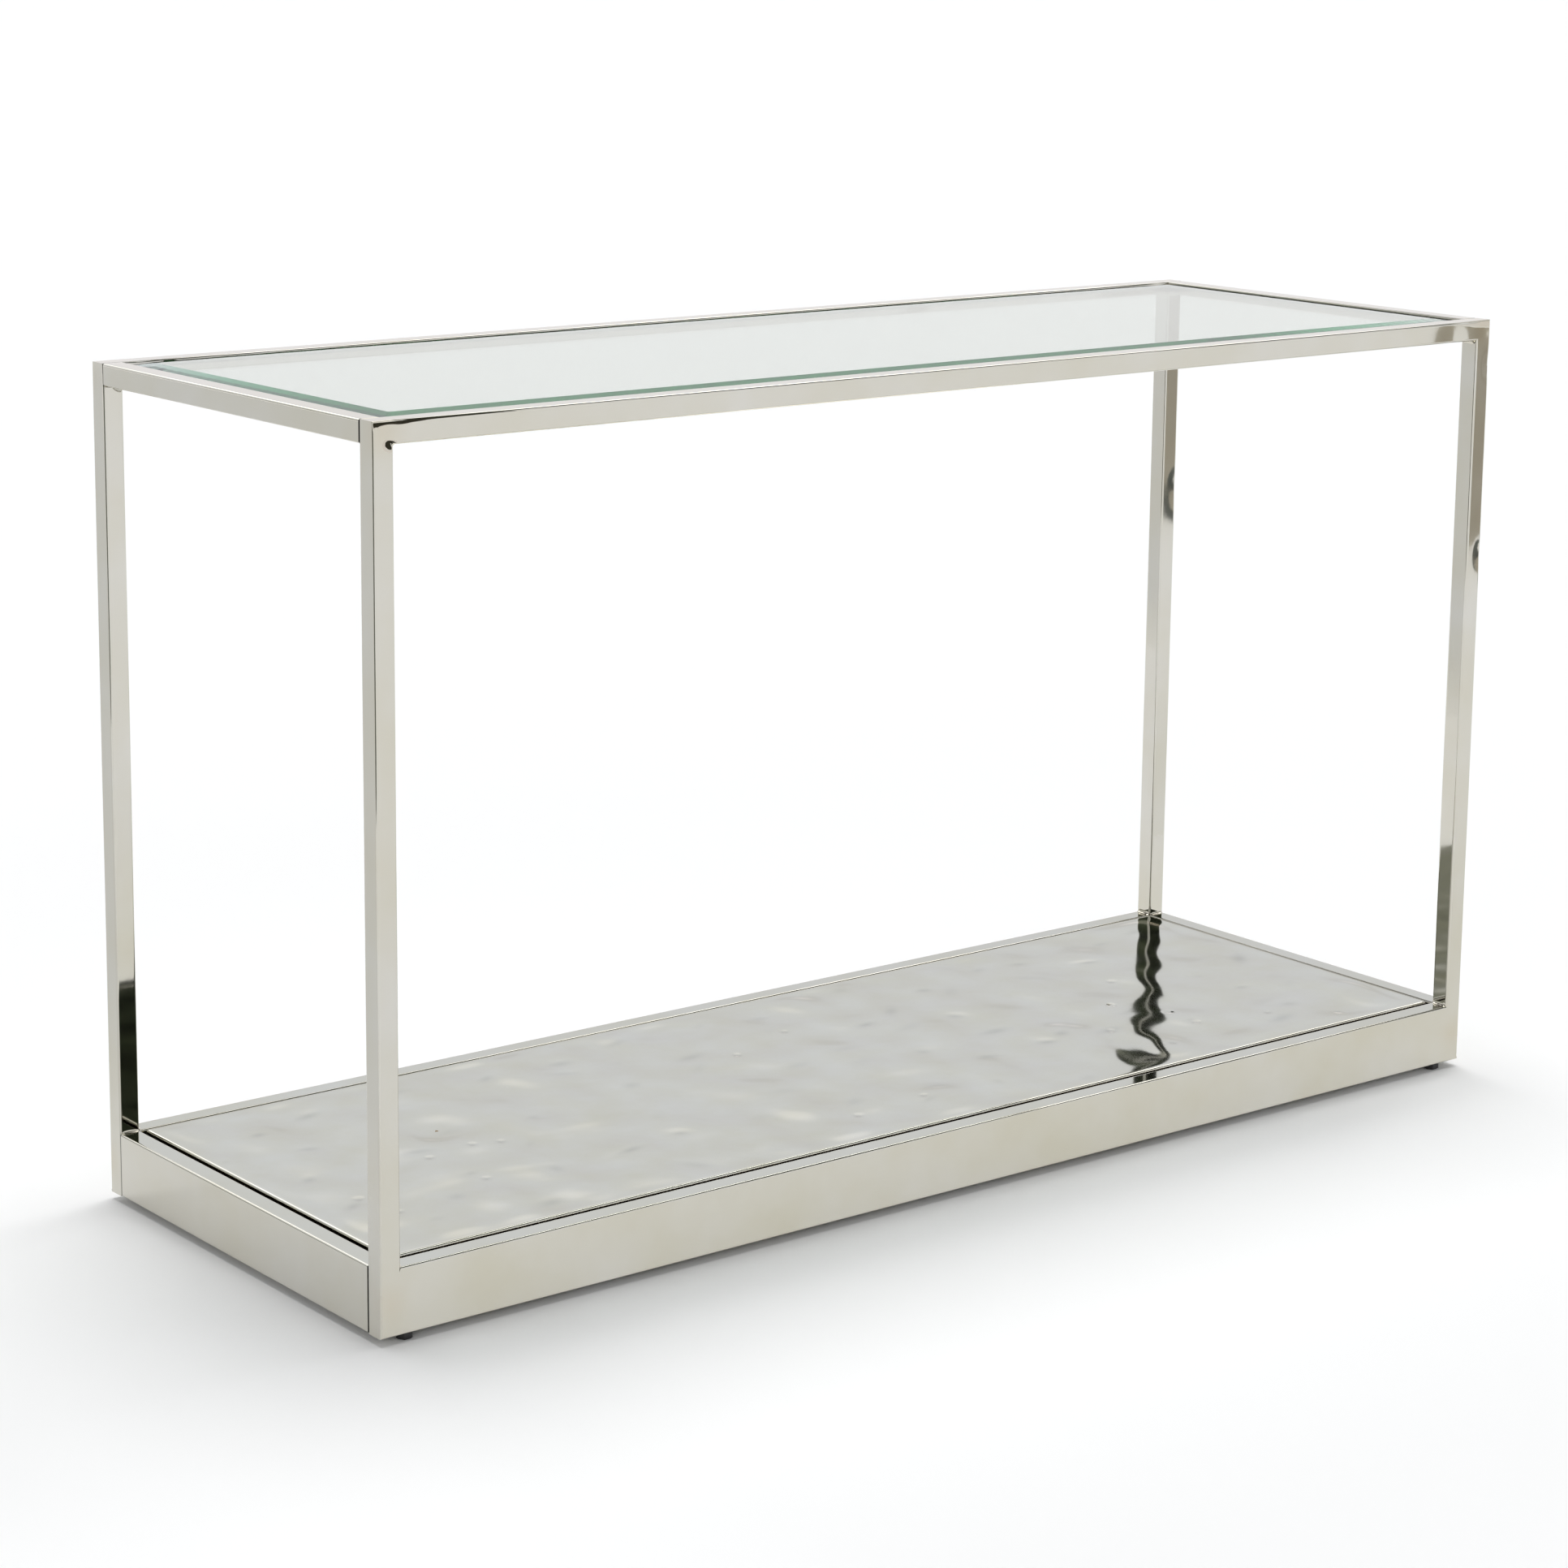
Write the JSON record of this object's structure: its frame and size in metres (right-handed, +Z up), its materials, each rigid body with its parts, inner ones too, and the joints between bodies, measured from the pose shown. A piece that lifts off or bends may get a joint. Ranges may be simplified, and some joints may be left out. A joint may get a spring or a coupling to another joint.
{
  "type": "console table",
  "caption": "Long narrow console table: a welded frame of polished square steel tube, an inset bevelled glass top, and a hammered metal shelf low down inside a deep apron.",
  "frame": {"origin": "on the floor, under the middle of the table", "axes": "+X along the length, +Y from the front to the back, +Z up"},
  "size_m": [1.32, 0.465, 0.78],
  "materials": {
    "polished_steel": "mirror polished stainless steel with a warm tone",
    "hammered_steel": "mirror polished stainless sheet, hand hammered",
    "ledge_steel": "mill finish stainless flat bar and angle",
    "clear_glass": "clear float glass with a wide polished bevel",
    "clear_silicone": "clear soft silicone",
    "shelf_board": "medium density fibreboard",
    "zinc_steel": "zinc plated steel",
    "black_nylon": "moulded black nylon"
  },
  "bodies": {
    "frame": {"front_top_rail": "polished_steel", "front_apron": "polished_steel", "front_glass_ledge": "ledge_steel", "front_shelf_ledge": "ledge_steel", "rear_top_rail": "polished_steel", "rear_apron": "polished_steel", "rear_glass_ledge": "ledge_steel", "rear_shelf_ledge": "ledge_steel", "left_top_rail": "polished_steel", "left_apron": "polished_steel", "left_glass_ledge": "ledge_steel", "left_shelf_ledge": "ledge_steel", "right_top_rail": "polished_steel", "right_apron": "polished_steel", "right_glass_ledge": "ledge_steel", "right_shelf_ledge": "ledge_steel", "front_left_leg": "polished_steel", "front_left_foot_nut": "zinc_steel", "front_right_leg": "polished_steel", "front_right_foot_nut": "zinc_steel", "rear_left_leg": "polished_steel", "rear_left_foot_nut": "zinc_steel", "rear_right_leg": "polished_steel", "rear_right_foot_nut": "zinc_steel", "left_shelf_bearer": "ledge_steel", "middle_shelf_bearer": "ledge_steel", "right_shelf_bearer": "ledge_steel", "glass_bumpers": "clear_silicone", "shelf_core": "shelf_board", "shelf_skin": "hammered_steel", "shelf_screws": "zinc_steel"},
    "glass": {"glass_top": "clear_glass"},
    "front_left_pad": {"front_left_foot_pad": "black_nylon"},
    "front_left_stud": {"front_left_foot_stud": "zinc_steel"},
    "front_right_pad": {"front_right_foot_pad": "black_nylon"},
    "front_right_stud": {"front_right_foot_stud": "zinc_steel"},
    "rear_left_pad": {"rear_left_foot_pad": "black_nylon"},
    "rear_left_stud": {"rear_left_foot_stud": "zinc_steel"},
    "rear_right_pad": {"rear_right_foot_pad": "black_nylon"},
    "rear_right_stud": {"rear_right_foot_stud": "zinc_steel"}
  },
  "joints": [
    {"name": "glass_lift", "type": "slide", "parent": "frame", "child": "glass", "axis": [0, 0, 1], "range_m": [0, 0.08]},
    {"name": "front_left_foot_height", "type": "slide", "parent": "frame", "child": "front_left_pad", "axis": [0, 0, -1], "range_m": [0, 0.01]},
    {"name": "front_left_foot_turn", "type": "hinge", "parent": "front_left_pad", "child": "front_left_stud", "pos_m": [-0.631, -0.2225, 0.007], "axis": [0, 0, -1], "range_deg": [0, 2881]},
    {"name": "front_right_foot_height", "type": "slide", "parent": "frame", "child": "front_right_pad", "axis": [0, 0, -1], "range_m": [0, 0.01]},
    {"name": "front_right_foot_turn", "type": "hinge", "parent": "front_right_pad", "child": "front_right_stud", "pos_m": [0.631, -0.2225, 0.007], "axis": [0, 0, -1], "range_deg": [0, 2881]},
    {"name": "rear_left_foot_height", "type": "slide", "parent": "frame", "child": "rear_left_pad", "axis": [0, 0, -1], "range_m": [0, 0.01]},
    {"name": "rear_left_foot_turn", "type": "hinge", "parent": "rear_left_pad", "child": "rear_left_stud", "pos_m": [-0.631, 0.2225, 0.007], "axis": [0, 0, -1], "range_deg": [0, 2881]},
    {"name": "rear_right_foot_height", "type": "slide", "parent": "frame", "child": "rear_right_pad", "axis": [0, 0, -1], "range_m": [0, 0.01]},
    {"name": "rear_right_foot_turn", "type": "hinge", "parent": "rear_right_pad", "child": "rear_right_stud", "pos_m": [0.631, 0.2225, 0.007], "axis": [0, 0, -1], "range_deg": [0, 2881]}
  ],
  "couplings": [
    {"joint": "front_left_foot_turn", "follows": "front_left_foot_height", "rad_per_m": 5026.5},
    {"joint": "front_right_foot_turn", "follows": "front_right_foot_height", "rad_per_m": 5026.5},
    {"joint": "rear_left_foot_turn", "follows": "rear_left_foot_height", "rad_per_m": 5026.5},
    {"joint": "rear_right_foot_turn", "follows": "rear_right_foot_height", "rad_per_m": 5026.5}
  ]
}
